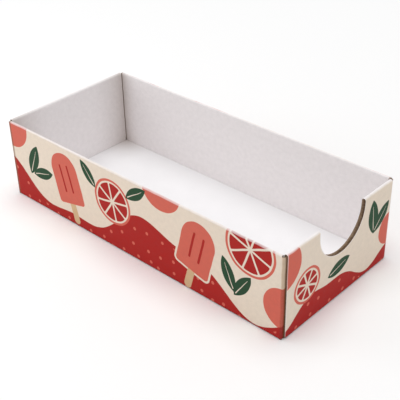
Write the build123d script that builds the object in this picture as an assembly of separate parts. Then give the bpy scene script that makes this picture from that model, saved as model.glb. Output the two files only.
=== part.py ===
from build123d import *
import os

# Open card tray for ice pops, folded from one die-cut sheet.
# X runs along the tray with the notched end at +X, -Y is the front and Z is up.
# The origin is on the table, under the middle of the tray. Sizes are in millimetres.

# Driving dimensions
tray_length = 220.0      # outside, over the two end panels
tray_width = 97.0        # outside, over the two long panels
tray_height = 53.0       # table to the tops of the rolled walls
board = 0.7              # thickness of the card
fold_radius = 0.3        # inside radius of the folds at the floor and the upright corners
notch_width = 40.0       # thumb notch across the end wall
notch_depth = 23.0       # thumb notch down from the top of the end wall
panel_trim = 1.5         # slant cut off the lower corners of the end panels

# Clearances
layer_gap = 0.15         # air between layers of card that lie together
corner_gap = 0.6         # slit between the long walls and the end walls at each corner
flap_end_gap = 2.0       # between the ends of the two flaps inside one end wall
cut_margin = 1.0         # how far the cutters of the notch and the slants run past the card

# A long wall is two layers of card, and an end wall closes on a corner flap between its two
long_wall = 2 * board + layer_gap
end_wall = 3 * board + 2 * layer_gap

# Radius of a fold at the middle of the card, where the flaps lie and where the sheet is slit to free the
# corners. The long walls run on past the end walls' inner panels and stop just short of the upright folds.
half_board = board / 2
bend = fold_radius + half_board
flap_line = tray_length / 2 - board - layer_gap - half_board
upright_fold = flap_line - bend
long_panel_end = upright_fold - 2 * layer_gap
end_panel_side = tray_width / 2 - long_wall - corner_gap


def card(*middle_line):
    # Section of the card that has these runs and bends as its middle line
    return trace(middle_line, line_width=board)


def wall_section(reach, wall, floor_start):
    # One rolled wall: up the inner panel, over the top, down the outer panel and in along the floor.
    # reach is the outer face's distance from the middle of the tray.
    roll = (wall - board) / 2
    outer = reach - half_board
    inner = reach - wall + half_board
    foot = board + layer_gap
    shoulder = tray_height - wall / 2
    inner_panel = Line((inner, foot), (inner, shoulder))
    over_top = CenterArc((reach - wall / 2, shoulder), roll, 180, -180)
    outer_panel = Line((outer, shoulder), (outer, half_board + bend))
    floor_fold = CenterArc((outer - bend, half_board + bend), bend, 0, -90)
    floor_panel = Line((outer - bend, half_board), (floor_start, half_board))
    return card(inner_panel, over_top, outer_panel, floor_fold, floor_panel)


def long_wall_and_half_floor():
    section = wall_section(tray_width / 2, long_wall, 0)
    return extrude(Plane.YZ * section, amount=long_panel_end, both=True)


def end_wall_with_roll():
    # The outer panel's lower corners are cut off on a slant, from the floor crease outwards
    section = wall_section(tray_length / 2, end_wall, long_panel_end)
    wall = extrude(Plane.XZ * section, amount=end_panel_side, both=True)
    crease = tray_length / 2 - board - fold_radius
    beyond = end_panel_side + cut_margin
    slant = Polyline(
        (end_panel_side - panel_trim - cut_margin, -cut_margin),
        (beyond, panel_trim + cut_margin),
        (beyond, -cut_margin),
        close=True,
    )
    trim = extrude(Plane.YZ.offset(crease) * make_face(slant), board + fold_radius + cut_margin)
    return wall - trim - mirror(trim, about=Plane.XZ)


def corner_with_flap():
    # The long outer panel turns the upright corner, and its flap runs on inside the end wall.
    # The corner is cut on the panel's two crease lines. The flap is trimmed to clear the end wall's folds.
    panel = tray_width / 2 - half_board
    panel_stub = Line((long_panel_end, panel), (upright_fold, panel))
    corner_fold = CenterArc((upright_fold, panel - bend), bend, 90, -90)
    flap_run = Line((flap_line, panel - bend), (flap_line, flap_end_gap / 2))
    corner_low = half_board
    corner_high = tray_height - long_wall / 2
    flap_low = board + fold_radius
    flap_high = tray_height - end_wall / 2
    corner = extrude(Pos(0, 0, corner_low) * card(panel_stub, corner_fold), corner_high - corner_low)
    flap = extrude(Pos(0, 0, flap_low) * card(flap_run), flap_high - flap_low)
    return corner + flap


def thumb_notch():
    # Half-round cut with short straight sides, through every layer of the end wall
    radius = notch_width / 2
    centre_height = tray_height - notch_depth + radius
    open_top = tray_height + cut_margin
    cut_start = tray_length / 2 - end_wall - cut_margin
    bowl = Pos(0, centre_height) * Circle(radius)
    throat = Pos(0, centre_height) * Rectangle(
        notch_width, open_top - centre_height, align=(Align.CENTER, Align.MIN)
    )
    outline = Plane.YZ.offset(cut_start) * (bowl + throat)
    return extrude(outline, end_wall + 2 * cut_margin)


def folded_tray():
    back_wall = long_wall_and_half_floor()
    notched_end = end_wall_with_roll()
    back_corner = corner_with_flap()
    back_half = back_wall + notched_end + back_corner + mirror(notched_end + back_corner, about=Plane.YZ)
    sheet = back_half + mirror(back_half, about=Plane.XZ)
    return sheet - thumb_notch()


os.makedirs("parts", exist_ok=True)
tray = folded_tray()
export_step(tray.solid(), "parts/folded_tray.step")
print("tray volume", round(tray.volume), "mm3, faces", len(tray.faces()))
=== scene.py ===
import bpy
import math
from mathutils import Matrix, Vector


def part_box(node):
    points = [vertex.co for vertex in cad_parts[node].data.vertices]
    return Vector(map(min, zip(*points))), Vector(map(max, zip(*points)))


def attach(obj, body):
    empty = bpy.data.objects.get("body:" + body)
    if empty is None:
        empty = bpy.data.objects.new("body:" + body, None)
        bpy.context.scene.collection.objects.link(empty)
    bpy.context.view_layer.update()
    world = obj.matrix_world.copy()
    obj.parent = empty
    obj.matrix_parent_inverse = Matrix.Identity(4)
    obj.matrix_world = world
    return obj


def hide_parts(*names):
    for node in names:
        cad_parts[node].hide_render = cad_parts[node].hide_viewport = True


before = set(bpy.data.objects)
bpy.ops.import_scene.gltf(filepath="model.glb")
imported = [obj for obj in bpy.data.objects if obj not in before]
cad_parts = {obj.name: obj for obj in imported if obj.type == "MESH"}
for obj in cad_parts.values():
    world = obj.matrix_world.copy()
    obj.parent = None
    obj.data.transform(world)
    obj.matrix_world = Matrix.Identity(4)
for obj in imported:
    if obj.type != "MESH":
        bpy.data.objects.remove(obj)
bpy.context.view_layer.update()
mm = 0.001
mathNode, vectorNode, rangeNode = "ShaderNodeMath", "ShaderNodeVectorMath", "ShaderNodeMapRange"


def hexColor(code):  # sRGB hex to linear
    channels = [int(code[i:i + 2], 16) / 255 for i in (1, 3, 5)]
    return [*[c / 12.92 if c <= 0.04045 else ((c + 0.055) / 1.055) ** 2.4 for c in channels], 1.0]


def feed(tree, node, inputs):  # a node or a socket among the inputs is linked, and a value is set
    for key, value in inputs.items():
        if isinstance(value, bpy.types.Node):
            value = value.outputs[0]
        if isinstance(value, bpy.types.NodeSocket):
            tree.links.new(value, node.inputs[key])
        else:
            node.inputs[key].default_value = value


def addNode(tree, kind, inputs=None, **settings):
    node = tree.nodes.new(kind)
    for name, value in settings.items():
        setattr(node, name, value)
    feed(tree, node, inputs or {})
    return node


def newGroup(name, kind, inputs, outputs):  # returns the tree, its input node and its output node
    tree = bpy.data.node_groups.new(name, kind)
    for direction, sockets in (("INPUT", inputs), ("OUTPUT", outputs)):
        for socketName, socketKind in sockets.items():
            tree.interface.new_socket(socketName, in_out=direction, socket_type="NodeSocket" + socketKind)
    return tree, addNode(tree, "NodeGroupInput"), addNode(tree, "NodeGroupOutput")


def newMaterial(name, constants):  # the constants are set on the shader's own sockets
    material = bpy.data.materials.new(name)
    material.use_nodes = True
    surface = material.node_tree.nodes["Principled BSDF"]
    feed(material.node_tree, surface, constants)
    return material, material.node_tree, surface


def newObject(name, data):
    made = bpy.data.objects.new(name, data)
    bpy.context.collection.objects.link(made)
    return made


# The flat blank, in millimetres, lying with the inside of the tray up
card = {
    "board": 0.7,         # thickness
    "foldRadius": 0.3,    # inside the folds at the floor and the upright corners
    "layerGap": 0.15,     # between layers that lie together
    "footGap": 0.09,      # under the inner panels, which all but touch the floor
    "cornerGap": 0.6,     # slits at the corners
    "flapEndGap": 2.0,    # between the two flaps inside an end wall
    "notchWidth": 40.0,
    "notchDepth": 23.0,
    "panelTrim": 1.5,     # slant cut off the lower corners of the end panels
    "wave": 0.22,         # how far the panels bow, card never being quite flat
    "waveSize": 70.0,
}
# steps of the grid
counts = {"fold": 8, "longRoll": 14, "endRoll": 18, "rows": 10, "side": 6, "notch": 40, "long": 48}

trayLow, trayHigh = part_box("folded_tray")
length, width, height = [(b - a) / mm for a, b in zip(trayLow, trayHigh)]
board, gap, trim = card["board"], card["layerGap"], card["panelTrim"]
half = board / 2
bend = card["foldRadius"] + half                     # fold radii are at the middle of the card
foldEnd = half + bend                                # height at which a wall is upright
turn = bend * math.pi / 2
longWall, endWall = 2 * board + gap, 3 * board + 2 * gap
longRoll, endRoll = (longWall - board) / 2, (endWall - board) / 2
insideLength, insideWidth = length / 2 - endWall, width / 2 - longWall  # half of each
endSlit = width / 2 - longWall - card["cornerGap"]
longFold, endFold = width / 2 - foldEnd, length / 2 - foldEnd
longShoulder, endShoulder = height - longWall / 2, height - endWall / 2
longTop = longFold + turn + longShoulder - foldEnd   # where the rolls start on the flat blank
endTop = endFold + turn + endShoulder - foldEnd
foot = board + card["footGap"]
flapLine = length / 2 - board - gap - half           # middle of the flap's card in the end wall
flapFold = flapLine - bend
flapStart = flapFold + turn + width / 2 - half - bend
flapHalfGap = card["flapEndGap"] / 2
longSlit = flapFold - 2 * gap                        # the long rolls stop just short of the upright folds
notchRadius = card["notchWidth"] / 2
notchCentre = height - card["notchDepth"] + notchRadius


def steps(start, end, count):
    return [start + (end - start) * i / count for i in range(count + 1)]


blankPoints, blankQuads, stiffPoints, flapPoints = {}, [], set(), set()


def layPatch(columns, stiff=False, flap=False):  # a grid of (x, y) points, welded to its neighbours
    grid = []
    for column in columns:
        keys = [(round(x, 3), round(y, 3)) for x, y in column]
        grid.append([blankPoints.setdefault(key, len(blankPoints)) for key in keys])
    for marked, points in ((stiff, stiffPoints), (flap, flapPoints)):
        if marked:
            points.update(index for column in grid for index in column)
    (x0, y0), (x1, y1), (x2, y2) = columns[0][-1], columns[1][-1], columns[0][-2]
    turned = (x1 - x0) * (y2 - y0) - (x2 - x0) * (y1 - y0) > 0
    for near, far in zip(grid, grid[1:]):
        for i in range(len(near) - 1):
            quad = [near[i], far[i], far[i + 1], near[i + 1]]
            quad = list(dict.fromkeys(quad))  # a triangle where two points meet
            blankQuads.append(quad[::-1] if turned else quad)


# heights up to the notch's spring, the same on every panel so that the patches meet
wallRows = [foldEnd] + steps(foldEnd + trim - turn, notchCentre, counts["rows"])
notchColumns = [-notchRadius * math.cos(t) for t in steps(0, math.pi, counts["notch"])]
sideColumns = steps(notchRadius, endSlit - trim, counts["side"]) + [endSlit]
endColumns = [-y for y in sideColumns[::-1]] + notchColumns[1:-1] + sideColumns
longColumns = steps(-longSlit, longSlit, counts["long"])


def upPanel(z):  # where a height on a long outer panel lies on the blank
    return longFold + turn + z - foldEnd


def cornerCut(x, y):  # the slant at the lower corners of an end panel
    edge = endSlit - max(0, trim - (x - endFold))
    return min(max(y, -edge), edge)


def notchRows(y):  # heights of the rows below the notch
    top = notchCentre - math.sqrt(max(notchRadius ** 2 - y ** 2, 0))
    return [foldEnd + (z - foldEnd) * (top - foldEnd) / (notchCentre - foldEnd) for z in wallRows]


layPatch([[(x, y) for y in [-longFold] + endColumns + [longFold]] for x in longColumns])
for side in (-1, 1):  # ends of the floor, then the long walls: floor fold, outer panel, roll, inner panel
    layPatch([[(x, y) for y in endColumns] for x in (side * longSlit, side * endFold)])
    foldRows = [longFold + bend * t for t in steps(0, math.pi / 2, counts["fold"])]
    panelRows = [upPanel(z) for z in wallRows + [endShoulder, longShoulder]]
    rollRows = [longTop + longRoll * t for t in steps(0, math.pi, counts["longRoll"])]
    innerRows = [rollRows[-1] + longShoulder - z for z in steps(longShoulder, foot, counts["rows"])]
    for rows in (foldRows, panelRows, rollRows, innerRows):
        layPatch([[(x, side * y) for y in rows] for x in longColumns], stiff=rows is innerRows)

for side in (-1, 1):  # end walls, the notch being an oval hole across the roll at +X
    foldRows = [endFold + bend * t for t in steps(0, math.pi / 2, counts["fold"])]
    rollRows = [endTop + endRoll * t for t in steps(0, math.pi, counts["endRoll"])]
    outerStart, innerStart = endFold + turn - foldEnd, rollRows[-1] + endShoulder
    outerRows = [outerStart + z for z in wallRows + [endShoulder]]
    innerRows = [innerStart - z for z in [endShoulder] + wallRows[::-1] + [foot]]
    layPatch([[(side * x, cornerCut(x, y)) for x in foldRows] for y in endColumns])
    for edge in (-1, 1):
        columns = [edge * y for y in sideColumns]
        layPatch([[(side * x, cornerCut(x, y)) for x in outerRows] for y in columns])
        layPatch([[(side * x, y) for x in rollRows] for y in columns])
        layPatch([[(side * x, y) for x in innerRows] for y in columns], stiff=True)
    if side > 0:
        layPatch([[(outerStart + z, y) for z in notchRows(y)] for y in notchColumns])
        layPatch([[(innerStart - z, y) for z in notchRows(y)[::-1] + [foot]] for y in notchColumns],
                 stiff=True)
    else:
        for rows in (outerRows, rollRows, innerRows):
            layPatch([[(-x, y) for x in rows] for y in notchColumns], stiff=rows is innerRows)

cornerColumns = [longSlit] + [flapFold + bend * t for t in steps(0, math.pi / 2, counts["fold"])]
lastTurn = math.acos(flapHalfGap / notchRadius)
for side in (-1, 1):  # corner flaps, each a run of the long outer panel past its slit
    for edge in (-1, 1):
        up = [edge * upPanel(z) for z in [half] + wallRows + [endShoulder, longShoulder]]
        layPatch([[(side * x, y) for y in up] for x in cornerColumns], stiff=True, flap=True)
        if side > 0:
            flapColumns = steps(longFold, notchRadius, counts["side"])
        else:
            flapColumns = steps(longFold, flapHalfGap, counts["rows"])
        layPatch([[(side * (flapStart - y), z) for z in up[1:-1]] for y in flapColumns],
                 stiff=True, flap=True)
        if side > 0:
            lowColumns = [notchRadius * math.cos(t) for t in steps(0, lastTurn, counts["notch"] // 2)]
            layPatch([[(flapStart - y, edge * upPanel(z)) for z in notchRows(y)] for y in lowColumns],
                     stiff=True, flap=True)

blankMesh = bpy.data.meshes.new("flatBlank")
blankMesh.from_pydata([(x * mm, y * mm, 0) for x, y in blankPoints], [], blankQuads)
for name, points in (("stiff", stiffPoints), ("flap", flapPoints)):
    marks = blankMesh.attributes.new(name, "FLOAT", "POINT")
    for index in points:
        marks.data[index].value = 1
blankMap = blankMesh.uv_layers.new(name="blankMm")  # the print is laid out in millimetres
for loop in blankMesh.loops:
    spot = blankMesh.vertices[loop.vertex_index].co
    blankMap.data[loop.index].uv = (spot.x / mm, spot.y / mm)
endPanel = blankMesh.attributes.new("endPanel", "BOOLEAN", "FACE")
for quad in blankMesh.polygons:
    across, aside = abs(quad.center.x), abs(quad.center.y)
    endPanel.data[quad.index].value = across > endFold * mm and aside < endSlit * mm
print("flat blank:", len(blankPoints), "points,", len(blankQuads), "quads")


# Print, drawn on the flat blank in millimetres
inks = {
    "ground": "#EDDECC",
    "red": "#AE201B",
    "coral": "#D66958",
    "green": "#264930",
    "wood": "#D6B68D",
    "paper": "#F8F3F3",
}
edgeSoftness = 0.12  # millimetres over which an ink edge fades


def inkEdge(tree, measure, edge=0.0, falling=False, softness=edgeSoftness):
    sign = -1 if falling else 1  # 1 past the edge and 0 before it, or the other way round where falling
    offset = 0.5 - sign * edge / softness
    return addNode(tree, mathNode, {0: measure, 1: sign / softness, 2: offset},
                   operation="MULTIPLY_ADD", use_clamp=True)


def lay(tree, under, ink, share):  # an ink or another flat colour over what is there so far
    color = hexColor(inks.get(ink, ink))
    return addNode(tree, "ShaderNodeMix", {0: share, 6: under, 7: color}, data_type="RGBA").outputs[2]


leafRib = {"halfWidth": 0.2, "taper": -0.015, "start": -0.8, "end": 0.62}  # ends in half lengths


def makeLeaf():  # pointed oval with a thin rib, along local X
    tree, given, result = newGroup("printedLeaf", "ShaderNodeTree",
                                   {"Vector": "Vector", "Half length": "Float", "Half width": "Float"},
                                   {"Leaf": "Float", "Rib": "Float"})
    halfLength, halfWidth = given.outputs["Half length"], given.outputs["Half width"]
    place = addNode(tree, "ShaderNodeSeparateXYZ", {0: given.outputs["Vector"]})
    run = place.outputs["X"]
    aside = addNode(tree, mathNode, {0: place.outputs["Y"]}, operation="ABSOLUTE")
    # each side is an arc through both tips
    lengthSquare = addNode(tree, mathNode, {0: halfLength, 1: halfLength}, operation="MULTIPLY")
    sumSquare = addNode(tree, mathNode, {0: halfWidth, 1: halfWidth, 2: lengthSquare},
                        operation="MULTIPLY_ADD")
    twiceWidth = addNode(tree, mathNode, {0: halfWidth, 1: 2.0}, operation="MULTIPLY")
    radius = addNode(tree, mathNode, {0: sumSquare, 1: twiceWidth}, operation="DIVIDE")
    drop = addNode(tree, mathNode, {0: radius, 1: halfWidth}, operation="SUBTRACT")
    lifted = addNode(tree, mathNode, {0: aside, 1: drop}, operation="ADD")
    spot = addNode(tree, "ShaderNodeCombineXYZ", {0: run, 1: lifted})
    reach = addNode(tree, vectorNode, {0: spot}, operation="LENGTH")
    inside = addNode(tree, mathNode, {0: radius, 1: reach.outputs["Value"]}, operation="SUBTRACT")
    leaf = inkEdge(tree, inside)
    ribWidth = addNode(tree, mathNode, {0: run, 1: leafRib["taper"], 2: leafRib["halfWidth"]},
                       operation="MULTIPLY_ADD")
    ribInside = addNode(tree, mathNode, {0: ribWidth, 1: aside}, operation="SUBTRACT")
    rib = inkEdge(tree, ribInside)
    for end, compared in (("end", "LESS_THAN"), ("start", "GREATER_THAN")):
        ribEnd = addNode(tree, mathNode, {0: halfLength, 1: leafRib[end]}, operation="MULTIPLY")
        within = addNode(tree, mathNode, {0: run, 1: ribEnd}, operation=compared)
        rib = addNode(tree, mathNode, {0: rib, 1: within}, operation="MULTIPLY")
    ribInLeaf = addNode(tree, mathNode, {0: leaf, 1: rib}, operation="MULTIPLY")
    feed(tree, result, {"Leaf": leaf, "Rib": ribInLeaf})
    return tree


icePop = {
    "footRounding": 2.2,    # the foot is nearly square, the top fully round
    "halo": 1.3,            # rim of ground colour round the bar
    "grooveAside": 3.4,
    "grooveShare": 0.5,     # of the bar's length
    "grooveHalfWidth": 0.75,
    "stickLength": 11.0,
    "stickHalfWidth": 2.6,
}


def makeIcePop():  # round-topped bar with two grooves and a stick, along local Y
    tree, given, result = newGroup("printedIcePop", "ShaderNodeTree",
                                   {"Vector": "Vector", "Half width": "Float", "Half length": "Float"},
                                   {"Halo": "Float", "Stick": "Float", "Bar": "Float", "Groove": "Float"})
    halfWidth, halfLength = given.outputs["Half width"], given.outputs["Half length"]
    place = addNode(tree, "ShaderNodeSeparateXYZ", {0: given.outputs["Vector"]})
    run = place.outputs["Y"]
    sideways = addNode(tree, mathNode, {0: place.outputs["X"]}, operation="ABSOLUTE")
    lengthways = addNode(tree, mathNode, {0: run}, operation="ABSOLUTE")
    upper = addNode(tree, mathNode, {0: run, 1: 0.0}, operation="GREATER_THAN")
    rounding = addNode(tree, "ShaderNodeMix", {0: upper, 2: icePop["footRounding"], 3: halfWidth})
    corner = addNode(tree, "ShaderNodeCombineXYZ")
    overs = []
    for axis, (measure, halfSize) in enumerate(((sideways, halfWidth), (lengthways, halfLength))):
        straight = addNode(tree, mathNode, {0: halfSize, 1: rounding}, operation="SUBTRACT")
        overs.append(addNode(tree, mathNode, {0: measure, 1: straight}, operation="SUBTRACT"))
        out = addNode(tree, mathNode, {0: overs[axis], 1: 0.0}, operation="MAXIMUM")
        feed(tree, corner, {axis: out})
    cornerShadeReach = addNode(tree, vectorNode, {0: corner}, operation="LENGTH").outputs["Value"]
    deeper = addNode(tree, mathNode, {0: overs[0], 1: overs[1]}, operation="MAXIMUM")
    within = addNode(tree, mathNode, {0: deeper, 1: 0.0}, operation="MINIMUM")
    rounded = addNode(tree, mathNode, {0: cornerShadeReach, 1: rounding}, operation="SUBTRACT")
    barEdge = addNode(tree, mathNode, {0: rounded, 1: within}, operation="ADD")
    bar = inkEdge(tree, barEdge, falling=True)
    halo = inkEdge(tree, barEdge, icePop["halo"], falling=True)
    # round-ended lines: the grooves either side of the middle, and the stick below the bar
    grooveX = addNode(tree, mathNode, {0: sideways, 1: icePop["grooveAside"]}, operation="SUBTRACT")
    grooveRun = addNode(tree, mathNode, {0: halfLength, 1: icePop["grooveShare"]}, operation="MULTIPLY")
    grooveY = addNode(tree, mathNode, {0: lengthways, 1: grooveRun}, operation="SUBTRACT")
    stickTop = addNode(tree, mathNode, {0: run, 1: halfLength}, operation="ADD")
    stickY = addNode(tree, mathNode, {0: stickTop, 1: -1.0, 2: -icePop["stickLength"]},
                     operation="MULTIPLY_ADD")
    lines = []
    for aside, past, halfLine in ((grooveX, grooveY, icePop["grooveHalfWidth"]),
                                  (sideways, stickY, icePop["stickHalfWidth"])):
        out = addNode(tree, mathNode, {0: past, 1: 0.0}, operation="MAXIMUM")
        spot = addNode(tree, "ShaderNodeCombineXYZ", {0: aside, 1: out})
        reach = addNode(tree, vectorNode, {0: spot}, operation="LENGTH").outputs["Value"]
        lines.append(inkEdge(tree, reach, halfLine, falling=True))
    groove, stickSide = lines
    below = addNode(tree, mathNode, {0: run, 1: 0.0}, operation="LESS_THAN")
    stick = addNode(tree, mathNode, {0: stickSide, 1: below}, operation="MULTIPLY")
    feed(tree, result, {"Halo": halo, "Stick": stick, "Bar": bar, "Groove": groove})
    return tree


citrus = {"segments": 8, "rind": 1.5, "fleshInset": 2.6, "membrane": 0.62, "segmentRounding": 1.2}


def makeCitrus():  # a slice: rind, pith and segments
    tree, given, result = newGroup("printedCitrus", "ShaderNodeTree",
                                   {"Vector": "Vector", "Radius": "Float"},
                                   {"Rind": "Float", "Pith": "Float", "Flesh": "Float"})
    place = addNode(tree, "ShaderNodeSeparateXYZ", {0: given.outputs["Vector"]})
    flat = addNode(tree, "ShaderNodeCombineXYZ", {0: place.outputs["X"], 1: place.outputs["Y"]})
    reach = addNode(tree, vectorNode, {0: flat}, operation="LENGTH").outputs["Value"]
    depth = addNode(tree, mathNode, {0: given.outputs["Radius"], 1: reach}, operation="SUBTRACT")
    rind = inkEdge(tree, depth)
    pith = inkEdge(tree, depth, citrus["rind"])
    angle = addNode(tree, mathNode, {0: place.outputs["Y"], 1: place.outputs["X"]}, operation="ARCTAN2")
    wedge = addNode(tree, mathNode, {0: angle, 1: math.pi / citrus["segments"]}, operation="PINGPONG")
    wedgeAcross = addNode(tree, mathNode, {0: wedge, 1: reach}, operation="MULTIPLY")
    wedgeDepth = addNode(tree, mathNode, {0: wedgeAcross, 1: citrus["membrane"]}, operation="SUBTRACT")
    fleshDepth = addNode(tree, mathNode, {0: depth, 1: citrus["fleshInset"]}, operation="SUBTRACT")
    fleshEdge = addNode(tree, mathNode, {0: wedgeDepth, 1: fleshDepth, 2: citrus["segmentRounding"]},
                        operation="SMOOTH_MIN")
    flesh = inkEdge(tree, fleshEdge)
    feed(tree, result, {"Rind": rind, "Pith": pith, "Flesh": flesh})
    return tree


motifs = {  # shape, names of its sizes, and its layers from the bottom up
    "citrus": (makeCitrus(), ("Radius",), (("coral", "Rind"), ("ground", "Pith"), ("red", "Flesh"))),
    "leaves": (makeLeaf(), ("Half length", "Half width"), (("green", "Leaf"), ("ground", "Rib"))),
    "pops": (makeIcePop(), ("Half width", "Half length"),
             (("ground", "Halo"), ("wood", "Stick"), ("coral", "Bar"), ("red", "Groove"))),
}
longPrint = {  # places are (along, up) from the middle of the panel's foot, turns in degrees
    "wave": {"height": 17.5, "swells": ((13.0, 150.0, 0.73), (3.5, 57.0, 1.2))},  # rise, length, phase
    "rounds": (((-107.0, 52.0), 16.0), ((25.0, 58.0), 15.0), ((110.0, 20.0), 13.0)),
    "citrus": (((-15.0, 32.0), 15.0, 10.0), ((88.0, 47.0), 16.5, 25.0)),
    "pops": (((-56.0, 31.5), 12.0, 17.0, 13.0), ((51.0, 30.5), 12.0, 17.0, -15.0)),
    "leaves": (((-87.0, 33.0), 12.0, 4.6, 68.0), ((-79.0, 26.0), 10.0, 4.0, 18.0),
               ((-35.0, 43.5), 9.5, 3.7, 128.0), ((5.0, 45.5), 10.0, 3.8, 34.0),
               ((73.5, 25.0), 11.0, 4.2, 112.0), ((83.0, 21.5), 10.0, 3.9, 55.0)),
    "crease": longFold,                 # at the floor
    "palest": longShoulder + 0.15,      # the ink is stretched over the top fold
    "inkEnd": longShoulder + 0.6,
    "innerEnd": insideLength,           # where the inner panel meets the next wall
    "innerSlit": insideLength,
    "cornerShadeReach": 15.0,                # how far the painted corner shade reaches on the inner panel
}
endPrint = {
    "wave": {"height": 11.0, "swells": ((6.0, 84.0, 2.6), (2.0, 37.0, 0.3))},
    "rounds": (((-49.0, 45.0), 14.0), ((48.0, 22.0), 11.0)),
    "citrus": (((-29.0, 25.0), 11.0, 20.0),),
    "pops": (),
    "leaves": (((29.5, 37.0), 11.5, 4.6, 97.0), ((37.5, 33.5), 10.5, 4.4, 48.0),
               ((-1.0, 21.0), 10.0, 4.2, 12.0)),
    "crease": endFold,
    "palest": endShoulder + 0.7,
    "inkEnd": endShoulder + 1.0,
    "innerEnd": insideWidth,
    "innerSlit": endSlit,
    "cornerShadeReach": 32.0,
}
waveDots = {"spacing": 10.0, "size": 1.1, "scatter": 0.5, "inset": 2.5}
inkNoise = {  # waves to the millimetre, and detail
    "wander": (0.1, 1.0),   # 10 mm
    "flecks": (1.1, 3.0),   # 0.9 mm
    "mottle": (0.35, 5.0),  # 3 mm
    "fibre": (1.6, 3.0),    # 0.6 mm. Real fibres are about 0.03 mm wide, and are drawn coarser to show
}
inkWander = 0.8  # millimetres, ink edges being a little uneven
fibreRelief = 0.6  # beside the mottle's
fleckRange = (0.38, 0.68)  # of the noise, from solid ink to the palest fleck
foldSoftness = {"foot": 0.2, "top": 0.6}  # millimetres over which the print ends at the folds
cornerShade = {  # painted shade: inside the closed end the white is painted darker and warmer towards the corners
    "shade": "#D6CDC9",
    "slit": "#AD9078",     # painted shade right at the slits, in the raw board's brown
    "slitReach": 0.5,
    "slitShare": 0.45,
    "floorReach": 30.0,
}
wearAndShade = {  # wear, and painted shade at the foot and the upright corners: millimetres from the line that each follows, and its greatest share
    "stretched": {"reach": 0.4, "share": 0.5},
    "folds": {"from": 0.1, "to": 0.75, "least": 0.01, "most": 0.08},
    # the next three are painted shade: a contact shadow along the foot, shade by the corner slit, and shade
    # on the turn of the fold at the left
    "foot": {"ink": "#3E322B", "from": 0.6, "to": 0.95, "share": 0.8},
    "stripShade": {"ink": "#A0693A", "reach": 1.1, "share": 0.8},
    "leftFoldShade": {"ink": "#86624A", "from": 1.2, "to": 1.6, "share": 0.62},
    "cuts": {"from": 0.3, "to": 0.7, "share": 0.5},
}
cornerStripShade = {  # painted shade, from just before the upright fold to the slit
    "start": flapFold - 0.45,
    "turned": flapFold + 0.2,
    "shadeTint": "#F8EBDD",
    "dull": 0.8,
    "dullest": 0.72,
}
stripEnd = width / 2 - endSlit - bend - half + flapFold + turn  # where the slit is


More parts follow.
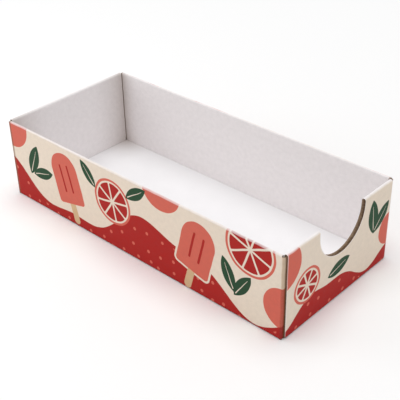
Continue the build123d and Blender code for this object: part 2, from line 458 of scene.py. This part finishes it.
def printedCard(name, layout, isEnd):
    # White-lined chipboard printed in flat offset inks: matt, a little mottled where the ink is solid,
    # with the paper's fibre under it, pale lines where it is folded, rubbed or cut, and painted shade at the
    # foot, at the upright corners and inside the closed end.
    material, tree, surface = newMaterial(name, {"IOR": 1.45, "Specular IOR Level": 0.18})
    flatPlace = addNode(tree, "ShaderNodeUVMap", uv_map="blankMm")
    noise = {}
    for use, (scale, detail) in inkNoise.items():
        noise[use] = addNode(tree, "ShaderNodeTexNoise",
                             {"Vector": flatPlace, "Scale": scale, "Detail": detail})
    drift = addNode(tree, vectorNode, {0: noise["wander"].outputs["Color"], 1: (0.5, 0.5, 0.5)},
                    operation="SUBTRACT")
    drawn = addNode(tree, vectorNode, {0: drift, 1: (inkWander, inkWander, 0.0), 2: flatPlace},
                    operation="MULTIPLY_ADD")
    axes = addNode(tree, "ShaderNodeSeparateXYZ", {0: drawn})
    runAxis, riseAxis = [axes.outputs[axis] for axis in ("YX" if isEnd else "XY")]
    facing = addNode(tree, mathNode, {0: riseAxis}, operation="SIGN")
    along = addNode(tree, mathNode, {0: runAxis, 1: facing}, operation="MULTIPLY")
    alongSeen = addNode(tree, mathNode, {0: along, 1: 1.0 if isEnd else -1.0}, operation="MULTIPLY")
    riseSize = addNode(tree, mathNode, {0: riseAxis}, operation="ABSOLUTE")
    panelFoot = layout["crease"] + turn - foldEnd
    up = addNode(tree, mathNode, {0: riseSize, 1: panelFoot}, operation="SUBTRACT")
    panel = addNode(tree, "ShaderNodeCombineXYZ", {0: alongSeen, 1: up})

    def worn(under, ink, measure, start, end, first, last):  # a colour that comes or goes along a measure
        share = addNode(tree, rangeNode, {"Value": measure, "From Min": start, "From Max": end,
                                          "To Min": first, "To Max": last})
        return lay(tree, under, ink, share)

    def placed(centre, degrees=0.0):
        return addNode(tree, "ShaderNodeMapping", {"Vector": panel, "Location": (*centre, 0.0),
                                                   "Rotation": (0.0, 0.0, math.radians(degrees))},
                       vector_type="TEXTURE")

    printed = hexColor(inks["ground"])
    for centre, radius in layout["rounds"]:
        reach = addNode(tree, vectorNode, {0: placed(centre)}, operation="LENGTH")
        printed = lay(tree, printed, "coral", inkEdge(tree, reach.outputs["Value"], radius, falling=True))

    crest = layout["wave"]["height"]
    for rise, swell, phase in layout["wave"]["swells"]:
        turnAlong = addNode(tree, mathNode, {0: alongSeen, 1: 2 * math.pi / swell, 2: phase},
                            operation="MULTIPLY_ADD")
        sine = addNode(tree, mathNode, {0: turnAlong}, operation="SINE")
        crest = addNode(tree, mathNode, {0: sine, 1: rise, 2: crest}, operation="MULTIPLY_ADD")
    waveDepth = addNode(tree, mathNode, {0: crest, 1: up}, operation="SUBTRACT")
    printed = lay(tree, printed, "red", inkEdge(tree, waveDepth))
    dots = addNode(tree, "ShaderNodeTexVoronoi",
                   {"Vector": panel, "Scale": 1 / waveDots["spacing"], "Randomness": waveDots["scatter"]},
                   voronoi_dimensions="2D")
    dotReach = addNode(tree, mathNode, {0: dots, 1: waveDots["spacing"]}, operation="MULTIPLY")
    dot = inkEdge(tree, dotReach, waveDots["size"], falling=True)
    deep = addNode(tree, mathNode, {0: waveDepth, 1: waveDots["inset"]}, operation="GREATER_THAN")
    deepDot = addNode(tree, mathNode, {0: dot, 1: deep}, operation="MULTIPLY")
    printed = lay(tree, printed, "coral", deepDot)

    for kind, (shapeTree, sizeNames, layers) in motifs.items():
        for centre, *sizes, degrees in layout[kind]:
            given = {"Vector": placed(centre, degrees), **dict(zip(sizeNames, sizes))}
            shape = addNode(tree, "ShaderNodeGroup", given, node_tree=shapeTree)
            for ink, part in layers:
                printed = lay(tree, printed, ink, shape.outputs[part])

    # the print stops at the panel's foot and over the top fold, where it is stretched pale
    stretch, crown = wearAndShade["stretched"], layout["palest"]
    printed = worn(printed, "paper", up, crown - stretch["reach"], crown, 0.0, stretch["share"])
    printed = lay(tree, printed, "ground", inkEdge(tree, up, falling=True, softness=foldSoftness["foot"]))
    overTop = inkEdge(tree, up, layout["inkEnd"], softness=foldSoftness["top"])
    printed = lay(tree, printed, "paper", overTop)

    # painted shade: the inner panel, which is past the ink, is painted darker towards the corners of the
    # closed end at -X
    corner = addNode(tree, mathNode, {0: alongSeen}, operation="ABSOLUTE")
    cornerShadeRamp = addNode(tree, rangeNode, {"Value": corner, "From Max": layout["innerEnd"],
                                           "From Min": layout["innerEnd"] - layout["cornerShadeReach"]})
    cornerShadeShare = addNode(tree, mathNode, {0: cornerShadeRamp, 1: cornerShadeRamp}, operation="MULTIPLY")
    closedEnd = addNode(tree, mathNode, {0: axes.outputs["X"], 1: 0.0}, operation="LESS_THAN")
    closedInside = addNode(tree, mathNode, {0: closedEnd, 1: overTop}, operation="MULTIPLY")
    paintedInsideShade = addNode(tree, mathNode, {0: cornerShadeShare, 1: closedInside}, operation="MULTIPLY")
    printed = lay(tree, printed, cornerShade["shade"], paintedInsideShade)
    # painted shade: a brown line on the inner panel right by each slit, where the slit's shadow falls
    slitSide = layout["innerSlit"]
    slitShadeRamp = addNode(tree, rangeNode,
                       {"Value": corner, "From Min": slitSide - cornerShade["slitReach"],
                        "From Max": slitSide, "To Max": cornerShade["slitShare"]})
    paintedSlitShade = addNode(tree, mathNode, {0: slitShadeRamp, 1: overTop}, operation="MULTIPLY")
    printed = lay(tree, printed, cornerShade["slit"], paintedSlitShade)

    # the ink is thin along the folds, and the turn of the foot gets a dark line of painted contact shadow
    footOff = addNode(tree, mathNode, {0: up, 1: foldEnd - turn / 2}, operation="SUBTRACT")
    foldNear = addNode(tree, mathNode, {0: footOff}, operation="ABSOLUTE")
    if not isEnd:
        cornerOff = addNode(tree, mathNode, {0: corner, 1: flapFold + turn / 2}, operation="SUBTRACT")
        cornerNear = addNode(tree, mathNode, {0: cornerOff}, operation="ABSOLUTE")
        foldNear = addNode(tree, mathNode, {0: foldNear, 1: cornerNear}, operation="MINIMUM")
    rubbed = addNode(tree, rangeNode,
                     {"Value": foldNear, "From Min": wearAndShade["folds"]["from"], "From Max": wearAndShade["folds"]["to"],
                      "To Min": 1.0, "To Max": 0.0})
    flecks = addNode(tree, rangeNode,
                     {"Value": noise["flecks"], "From Min": fleckRange[0], "From Max": fleckRange[1],
                      "To Min": wearAndShade["folds"]["least"], "To Max": wearAndShade["folds"]["most"]})
    rub = addNode(tree, mathNode, {0: rubbed, 1: flecks}, operation="MULTIPLY")
    printed = lay(tree, printed, "paper", rub)
    footShade = wearAndShade["foot"]
    printed = worn(printed, footShade["ink"], up, footShade["from"], footShade["to"], footShade["share"], 0.0)

    tone = 1.0  # ink mottle and paper fibre, and on the long panels the painted shade of the corner strip
    for use, darkest, palest in (("mottle", 0.955, 1.035), ("fibre", 0.975, 1.02)):
        shade = addNode(tree, rangeNode, {"Value": noise[use], "From Min": 0.25, "From Max": 0.75,
                                          "To Min": darkest, "To Max": palest})
        tone = addNode(tree, mathNode, {0: tone, 1: shade}, operation="MULTIPLY")

    if isEnd:  # a little ink is chipped off along the die-cut sides and the notch, which only +X has
        sideOff = addNode(tree, mathNode, {0: corner, 1: endSlit}, operation="SUBTRACT")
        sideNear = addNode(tree, mathNode, {0: sideOff}, operation="ABSOLUTE")
        fromNotch = placed((0.0, notchCentre))
        reach = addNode(tree, vectorNode, {0: fromNotch}, operation="LENGTH").outputs["Value"]
        notchOff = addNode(tree, mathNode, {0: facing, 1: -notchRadius, 2: reach}, operation="MULTIPLY_ADD")
        notchNear = addNode(tree, mathNode, {0: notchOff}, operation="ABSOLUTE")
        cutNear = addNode(tree, mathNode, {0: sideNear, 1: notchNear}, operation="MINIMUM")
        chips = wearAndShade["cuts"]
        printed = worn(printed, "paper", cutNear, chips["from"], chips["to"], chips["share"], 0.0)
    else:  # painted shade: the strip that turns the upright corner is painted brown by the slit, where it lies in shade
        stripShade, leftShade, turned = wearAndShade["stripShade"], wearAndShade["leftFoldShade"], cornerStripShade["turned"]
        printed = worn(printed, stripShade["ink"], corner, stripEnd - stripShade["reach"], stripEnd,
                       0.0, stripShade["share"])
        # painted shade: a brown line on the turn of the fold at the left of the panel, where it falls into
        # shade
        printed = worn(printed, leftShade["ink"], alongSeen, leftShade["from"] - flapFold, leftShade["to"] - flapFold,
                       leftShade["share"], 0.0)
        # painted shade: the strip is also tinted warmer and darker than the front, most of all by the slit
        isTurned = addNode(tree, rangeNode, {"Value": corner, "From Min": cornerStripShade["start"],
                                             "From Max": turned})
        shadeTint = hexColor(cornerStripShade["shadeTint"])
        printed = addNode(tree, "ShaderNodeMix", {0: isTurned, 6: printed, 7: shadeTint}, data_type="RGBA",
                          blend_type="MULTIPLY").outputs[2]
        for start, end, dull in ((cornerStripShade["start"], turned, cornerStripShade["dull"]),
                                 (turned, stripEnd, cornerStripShade["dullest"])):
            stripShadeRamp = addNode(tree, rangeNode, {"Value": corner, "From Min": start, "From Max": end,
                                               "To Min": 1.0, "To Max": dull})
            tone = addNode(tree, mathNode, {0: tone, 1: stripShadeRamp}, operation="MULTIPLY")

    toned = addNode(tree, vectorNode, {0: printed, "Scale": tone}, operation="SCALE")
    sheen = addNode(tree, rangeNode, {"Value": noise["mottle"], "From Min": 0.3, "From Max": 0.7,
                                      "To Min": 0.54, "To Max": 0.66})
    relief = addNode(tree, mathNode, {0: noise["fibre"], 1: fibreRelief, 2: noise["mottle"]},
                     operation="MULTIPLY_ADD")
    bump = addNode(tree, "ShaderNodeBump", {"Height": relief, "Strength": 0.16, "Distance": 0.05 * mm})
    feed(tree, surface, {"Base Color": toned, "Roughness": sheen, "Normal": bump})
    return material


paperLining = {"dull": "#F3F2F3", "bright": "#F6F5F6", "cloudSize": 14.0, "fibreSize": 0.9,
               "fibreShare": 0.3, "floorTop": 1.5}


def whiteLining():
    # Bleached paper lining, uncoated: soft matt white with faint clouds and fibres
    material, tree, surface = newMaterial("bleached paper lining",
                                          {"Roughness": 0.82, "IOR": 1.45, "Specular IOR Level": 0.2})
    place = addNode(tree, "ShaderNodeTexCoord").outputs["Object"]
    clouds = addNode(tree, "ShaderNodeTexNoise",
                     {"Vector": place, "Scale": 1 / (paperLining["cloudSize"] * mm), "Detail": 4.0})
    fibres = addNode(tree, "ShaderNodeTexNoise",
                     {"Vector": place, "Scale": 1 / (paperLining["fibreSize"] * mm), "Detail": 4.0})
    tone = addNode(tree, mathNode, {0: fibres, 1: paperLining["fibreShare"], 2: clouds},
                   operation="MULTIPLY_ADD")
    color = addNode(tree, rangeNode, {"Value": tone, "From Min": 0.4, "From Max": 0.9})
    shade = lay(tree, hexColor(paperLining["dull"]), paperLining["bright"], color)
    # painted shade: the floor is painted darker round the corners of the closed end, as the inner panels are
    spot = addNode(tree, "ShaderNodeSeparateXYZ", {0: place})
    fromMiddle = addNode(tree, mathNode, {0: spot.outputs["Y"]}, operation="ABSOLUTE")
    halfSpot = addNode(tree, "ShaderNodeCombineXYZ", {0: spot.outputs["X"], 1: fromMiddle})
    fromCorner = addNode(tree, vectorNode, {0: halfSpot, 1: (-insideLength * mm, insideWidth * mm, 0.0)},
                         operation="DISTANCE")
    cornerShadeRamp = addNode(tree, rangeNode, {"Value": fromCorner.outputs["Value"], "From Min": 0.0,
                                           "From Max": cornerShade["floorReach"] * mm,
                                           "To Min": 1.0, "To Max": 0.0})
    cornerShadeShare = addNode(tree, mathNode, {0: cornerShadeRamp, 1: cornerShadeRamp}, operation="MULTIPLY")
    shade = lay(tree, shade, cornerShade["shade"], cornerShadeShare)
    # painted shade: between the layers of a wall, which show only in the slits, the white is painted
    # brown-grey so that the slits read dark
    betweenLayersShade = addNode(tree, mathNode, {0: spot.outputs["Z"], 1: paperLining["floorTop"] * mm},
                      operation="GREATER_THAN")
    shade = lay(tree, shade, cornerShade["slit"], betweenLayersShade)
    bump = addNode(tree, "ShaderNodeBump", {"Height": tone, "Strength": 0.08, "Distance": 0.05 * mm})
    feed(tree, surface, {"Base Color": shade, "Normal": bump})
    return material


cutBoard = {"dark": "#554130", "pale": "#9A836D", "fibreSize": 1.2, "innerLayerLit": 0.4, "outerLayerShaded": -0.5,
            "notchMargin": 0.5}


def brownCore():
    # Recycled chipboard core, die-cut: dull brown, flecked with darker and paler fibres. Round the notch the
    # edge has
    # painted shade across the card: paler on the inner layer and darker on the outer.
    material, tree, surface = newMaterial("chipboard core, cut edge",
                                          {"Roughness": 0.9, "IOR": 1.45, "Specular IOR Level": 0.15})
    place = addNode(tree, "ShaderNodeTexCoord").outputs["Object"]
    fibres = addNode(tree, "ShaderNodeTexNoise",
                     {"Vector": place, "Scale": 1 / (cutBoard["fibreSize"] * mm), "Detail": 5.0})
    spot = addNode(tree, "ShaderNodeSeparateXYZ", {0: place})
    fromMiddle = addNode(tree, mathNode, {0: spot.outputs["Y"]}, operation="ABSOLUTE")
    notchEdge = (notchRadius + cutBoard["notchMargin"]) * mm
    notchSide = addNode(tree, mathNode, {0: fromMiddle, 1: notchEdge}, operation="LESS_THAN")
    # painted shade across the notch's cut, from the inner layer to the outer
    layer = addNode(tree, rangeNode, {"Value": spot.outputs["X"],
                                      "From Min": insideLength * mm, "From Max": length / 2 * mm,
                                      "To Min": cutBoard["innerLayerLit"], "To Max": cutBoard["outerLayerShaded"]})
    paintedLayerShade = addNode(tree, mathNode, {0: layer, 1: notchSide}, operation="MULTIPLY")
    flecked = addNode(tree, rangeNode, {"Value": fibres, "From Min": 0.3, "From Max": 0.7,
                                        "To Min": 0.2, "To Max": 0.8})
    pale = addNode(tree, mathNode, {0: flecked, 1: paintedLayerShade}, operation="ADD", use_clamp=True)
    shade = lay(tree, hexColor(cutBoard["dark"]), cutBoard["pale"], pale)
    bump = addNode(tree, "ShaderNodeBump", {"Height": fibres, "Strength": 0.5, "Distance": 0.1 * mm})
    feed(tree, surface, {"Base Color": shade, "Normal": bump})
    return material


longFace = printedCard("offset-printed chipboard, long panels", longPrint, False)
endFace = printedCard("offset-printed chipboard, end panels", endPrint, True)
lining = whiteLining()
core = brownCore()
print("materials:", longFace.name, "|", endFace.name, "|", lining.name, "|", core.name)


# Folding: each crease bends the blank up along an arc, both sides of the middle at once
creaseSlack, weldDistance = 1e-7, 0.002 * mm  # metres


def makeCrease():
    tree, given, result = newGroup("foldAtCrease", "GeometryNodeTree",
                                   {"Geometry": "Geometry", "Outward": "Vector", "Crease": "Float",
                                    "Radius": "Float", "Angle": "Float", "Stiff": "Float", "Part": "Float"},
                                   {"Geometry": "Geometry"})
    outward, radius, angle = given.outputs["Outward"], given.outputs["Radius"], given.outputs["Angle"]
    place = addNode(tree, "GeometryNodeInputPosition")
    projected = addNode(tree, vectorNode, {0: place, 1: outward}, operation="DOT_PRODUCT")
    reach = projected.outputs["Value"]
    side = addNode(tree, mathNode, {0: reach}, operation="SIGN")
    distance = addNode(tree, mathNode, {0: reach}, operation="ABSOLUTE")
    beyond = addNode(tree, mathNode, {0: distance, 1: given.outputs["Crease"]}, operation="SUBTRACT")
    lift = addNode(tree, "ShaderNodeSeparateXYZ", {0: place}).outputs["Z"]
    along = addNode(tree, mathNode, {0: beyond, 1: radius}, operation="DIVIDE")
    bent = addNode(tree, mathNode, {0: along, 1: angle}, operation="MINIMUM")
    swing = addNode(tree, "ShaderNodeMix", {0: given.outputs["Stiff"], 2: bent, 3: angle}).outputs[0]
    sine = addNode(tree, mathNode, {0: swing}, operation="SINE")
    cosine = addNode(tree, mathNode, {0: swing}, operation="COSINE")
    used = addNode(tree, mathNode, {0: radius, 1: swing}, operation="MULTIPLY")
    rest = addNode(tree, mathNode, {0: beyond, 1: used}, operation="SUBTRACT")
    arm = addNode(tree, mathNode, {0: radius, 1: lift}, operation="SUBTRACT")
    restOut = addNode(tree, mathNode, {0: rest, 1: cosine}, operation="MULTIPLY")
    newOut = addNode(tree, mathNode, {0: arm, 1: sine, 2: restOut}, operation="MULTIPLY_ADD")
    restUp = addNode(tree, mathNode, {0: rest, 1: sine, 2: radius}, operation="MULTIPLY_ADD")
    armUp = addNode(tree, mathNode, {0: arm, 1: cosine}, operation="MULTIPLY")
    newUp = addNode(tree, mathNode, {0: restUp, 1: armUp}, operation="SUBTRACT")
    moveOut = addNode(tree, mathNode, {0: newOut, 1: beyond}, operation="SUBTRACT")
    sideOut = addNode(tree, mathNode, {0: moveOut, 1: side}, operation="MULTIPLY")
    moveUp = addNode(tree, mathNode, {0: newUp, 1: lift}, operation="SUBTRACT")
    upward = addNode(tree, "ShaderNodeCombineXYZ", {2: moveUp})
    move = addNode(tree, vectorNode, {0: outward, 1: sideOut, 2: upward}, operation="MULTIPLY_ADD")
    isBeyond = addNode(tree, mathNode, {0: beyond, 1: creaseSlack}, operation="GREATER_THAN")
    turning = addNode(tree, mathNode, {0: isBeyond, 1: given.outputs["Part"]}, operation="MULTIPLY")
    folded = addNode(tree, "GeometryNodeSetPosition", {"Geometry": given.outputs["Geometry"],
                                                       "Selection": turning, "Offset": move})
    feed(tree, result, {"Geometry": folded})
    return tree


foldSizes = {  # the tree's inputs, in metres
    "Board": board * mm,
    "Bend": bend * mm,
    "Flap crease": flapFold * mm,
    "Long top crease": longTop * mm,
    "Long top roll": longRoll * mm,
    "Long floor crease": longFold * mm,
    "End top crease": endTop * mm,
    "End top roll": endRoll * mm,
    "End floor crease": endFold * mm,
    "Wave": card["wave"] * mm,
    "Wave scale": 1 / (card["waveSize"] * mm),
    "Height": height * mm,
    "Half length": length / 2 * mm,
    "Half width": width / 2 * mm,
}


def makeFolding():
    tree, given, result = newGroup("foldBlank", "GeometryNodeTree",
                                   {"Geometry": "Geometry", **{name: "Float" for name in foldSizes}},
                                   {"Geometry": "Geometry"})
    crease = makeCrease()
    stiff, flap = [addNode(tree, "GeometryNodeInputNamedAttribute", {"Name": name}, data_type="FLOAT")
                   for name in ("stiff", "flap")]
    sheet = given.outputs["Geometry"]
    alongX, alongY, quarter, back = (1, 0, 0), (0, 1, 0), math.pi / 2, math.pi
    for outward, line, radius, angle, stays, part in (
            (alongX, "Flap crease", "Bend", quarter, 0.0, flap),
            (alongY, "Long top crease", "Long top roll", back, 0.0, 1.0),
            (alongY, "Long floor crease", "Bend", quarter, stiff, 1.0),
            (alongX, "End top crease", "End top roll", back, 0.0, 1.0),
            (alongX, "End floor crease", "Bend", quarter, stiff, 1.0)):
        sheet = addNode(tree, "GeometryNodeGroup", node_tree=crease, inputs={
            "Geometry": sheet, "Outward": outward, "Crease": given.outputs[line],
            "Radius": given.outputs[radius], "Angle": angle, "Stiff": stays, "Part": part})

    # the panels bow gently, all layers of a wall together, while the corners and the floor stay straight
    place = addNode(tree, "GeometryNodeInputPosition")
    spot = addNode(tree, "ShaderNodeSeparateXYZ", {0: place})
    waves = addNode(tree, "ShaderNodeTexNoise", {"Vector": place, "Scale": given.outputs["Wave scale"],
                                                 "Detail": 1.0})
    sway = addNode(tree, vectorNode, {0: waves.outputs["Color"], 1: (0.5, 0.5, 0.5)}, operation="SUBTRACT")
    risen = addNode(tree, mathNode, {0: spot.outputs["Z"], 1: given.outputs["Height"]}, operation="DIVIDE")
    swayFar = addNode(tree, mathNode, {0: risen, 1: given.outputs["Wave"]}, operation="MULTIPLY")
    swayTwice = addNode(tree, mathNode, {0: swayFar, 1: 2.0}, operation="MULTIPLY")  # sway is within 0.5
    bow = addNode(tree, vectorNode, {0: sway, "Scale": swayTwice}, operation="SCALE")
    acrossWall = addNode(tree, mathNode, {0: spot.outputs["Y"], 1: given.outputs["Half width"]},
                         operation="DIVIDE")
    alongWall = addNode(tree, mathNode, {0: spot.outputs["X"], 1: given.outputs["Half length"]},
                        operation="DIVIDE")
    toCorner = addNode(tree, "ShaderNodeCombineXYZ", {0: acrossWall, 1: alongWall})
    cornerSquare = addNode(tree, vectorNode, {0: toCorner, 1: toCorner}, operation="MULTIPLY")
    free = addNode(tree, vectorNode, {0: (1.0, 1.0, 0.0), 1: cornerSquare}, operation="SUBTRACT")
    bowFree = addNode(tree, vectorNode, {0: bow, 1: free}, operation="MULTIPLY")
    bowed = addNode(tree, "GeometryNodeSetPosition", {"Geometry": sheet, "Offset": bowFree})

    # thickness: the printed face lies half a card outside the middle, and the lined face a card inside that
    halfBoard = addNode(tree, mathNode, {0: given.outputs["Board"], 1: 0.5}, operation="MULTIPLY")
    raised = addNode(tree, "ShaderNodeCombineXYZ", {2: halfBoard})
    outOf = addNode(tree, mathNode, {0: halfBoard, 1: -1.0}, operation="MULTIPLY")
    normal = addNode(tree, "GeometryNodeInputNormal")
    toFace = addNode(tree, vectorNode, {0: normal, "Scale": outOf}, operation="SCALE")
    shift = addNode(tree, vectorNode, {0: toFace, 1: raised}, operation="ADD")
    face = addNode(tree, "GeometryNodeSetPosition", {"Geometry": bowed, "Offset": shift})
    paper = addNode(tree, "GeometryNodeSetMaterial", {"Geometry": face, "Material": lining})
    inside = addNode(tree, "GeometryNodeExtrudeMesh",
                     {"Mesh": paper, "Offset Scale": given.outputs["Board"], "Individual": False})
    outside = addNode(tree, "GeometryNodeFlipFaces", {0: face})
    long = addNode(tree, "GeometryNodeSetMaterial", {"Geometry": outside, "Material": longFace})
    isEnd = addNode(tree, "GeometryNodeInputNamedAttribute", {"Name": "endPanel"}, data_type="BOOLEAN")
    both = addNode(tree, "GeometryNodeSetMaterial",
                   {"Geometry": long, "Selection": isEnd, "Material": endFace})
    joined = addNode(tree, "GeometryNodeJoinGeometry")
    for layer in (both, inside):
        feed(tree, joined, {0: layer})
    closed = addNode(tree, "GeometryNodeMergeByDistance", {"Geometry": joined, "Distance": weldDistance})
    smooth = addNode(tree, "GeometryNodeSetShadeSmooth", {"Geometry": closed})
    real = addNode(tree, "GeometryNodeRealizeInstances", {"Geometry": smooth})
    edged = addNode(tree, "GeometryNodeSetMaterial", {"Geometry": real, "Selection": inside.outputs["Side"],
                                                      "Material": core})
    feed(tree, result, {"Geometry": edged})
    return tree


sharpTurn = math.radians(40)  # steeper edges than this stay crisp
blank = newObject("flatBlank", blankMesh)
folding = blank.modifiers.new("fold", "NODES")
folding.node_group = makeFolding()
for socket in folding.node_group.interface.items_tree:
    if socket.in_out == "INPUT" and socket.name in foldSizes:
        folding[socket.identifier] = foldSizes[socket.name]
depsgraph = bpy.context.evaluated_depsgraph_get()
trayMesh = bpy.data.meshes.new_from_object(blank.evaluated_get(depsgraph), preserve_all_data_layers=True,
                                           depsgraph=depsgraph)
trayMesh.name = "foldedTray"
bpy.data.objects.remove(blank)
trayMesh.set_sharp_from_angle(angle=sharpTurn)
tray = newObject("foldedTray", trayMesh)
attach(tray, "root")
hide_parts("folded_tray")
print("tray folded:", len(trayMesh.polygons), "faces,", [m.name for m in trayMesh.materials])


# Stage: pale floor, soft light from above and from the front, and the camera
studio = {
    "floorColor": "#FEFEFE",
    "floorSize": 6.0,
    "skyStrength": 0.54,
    "topLight": {"strength": 1.33, "spread": 50.0, "from": (-0.06, 0.03, 1.0)},
    "frontLight": {"power": 0.46, "size": 0.3, "place": (-0.4, -0.32, 0.24)},
}
reach = studio["floorSize"] / 2
floorMesh = bpy.data.meshes.new("studioFloor")
floorCorners = [(-reach, -reach, 0), (reach, -reach, 0), (reach, reach, 0), (-reach, reach, 0)]
floorMesh.from_pydata(floorCorners, [], [(0, 1, 2, 3)])
# Matt white studio board, plain so that only the shadow shows on it
floorMesh.materials.append(newMaterial("matt white studio board", {
    "Base Color": hexColor(studio["floorColor"]), "Roughness": 0.95, "Specular IOR Level": 0.0})[0])
floor = newObject("studioFloor", floorMesh)

world = bpy.data.worlds.new("softStudio")
bpy.context.scene.world = world
world.use_nodes = True
sky = world.node_tree
sky.nodes.clear()
seen = addNode(sky, "ShaderNodeLightPath")
seenDirect = seen.outputs["Is Camera Ray"]
for ray in ("Is Glossy Ray", "Is Transmission Ray"):
    seenDirect = addNode(sky, mathNode, {0: seenDirect, 1: seen.outputs[ray]}, operation="MAXIMUM")
glow = addNode(sky, "ShaderNodeMix", {0: seenDirect, 2: studio["skyStrength"], 3: 1.0})
light = addNode(sky, "ShaderNodeBackground", {"Color": (1, 1, 1, 1), "Strength": glow})
addNode(sky, "ShaderNodeOutputWorld", {"Surface": light})

topLamp = bpy.data.lights.new("topLight", "SUN")
topLamp.energy = studio["topLight"]["strength"]
topLamp.angle = math.radians(studio["topLight"]["spread"])
topLight = newObject("topLight", topLamp)
topLight.rotation_euler = Vector(studio["topLight"]["from"]).to_track_quat("Z", "Y").to_euler()
frontLamp = bpy.data.lights.new("frontLight", "AREA")
frontLamp.energy = studio["frontLight"]["power"]
frontLamp.size = studio["frontLight"]["size"]
frontLight = newObject("frontLight", frontLamp)
frontLight.location = studio["frontLight"]["place"]
frontLight.rotation_euler = Vector(studio["frontLight"]["place"]).to_track_quat("Z", "Y").to_euler()
frontLight.visible_camera = False

photoView = {  # fitted to the tray's corners in the photo, for a square frame
    "lens": 78.212,
    "sensor": 36.0,
    "clip": (0.01, 20.0),
    "place": (0.31167, -0.31929, 0.30045),
    "azimuth": 43.515,
    "elevation": 32.499,
    "roll": -1.389,
}
lens = bpy.data.cameras.new("photoCamera")
lens.lens = photoView["lens"]
lens.sensor_width = photoView["sensor"]
lens.sensor_fit = "HORIZONTAL"
lens.clip_start, lens.clip_end = photoView["clip"]
camera = newObject("photoCamera", lens)
degrees = (photoView["azimuth"], 90 - photoView["elevation"], photoView["roll"])
turnTo, lower, roll = [math.radians(angle) for angle in degrees]
facing = Matrix.Rotation(turnTo, 4, "Z") @ Matrix.Rotation(lower, 4, "X") @ Matrix.Rotation(roll, 4, "Z")
camera.matrix_world = Matrix.Translation(photoView["place"]) @ facing
bpy.context.scene.camera = camera
bpy.context.scene.view_settings.view_transform = "Standard"
print("stage, light and camera set")
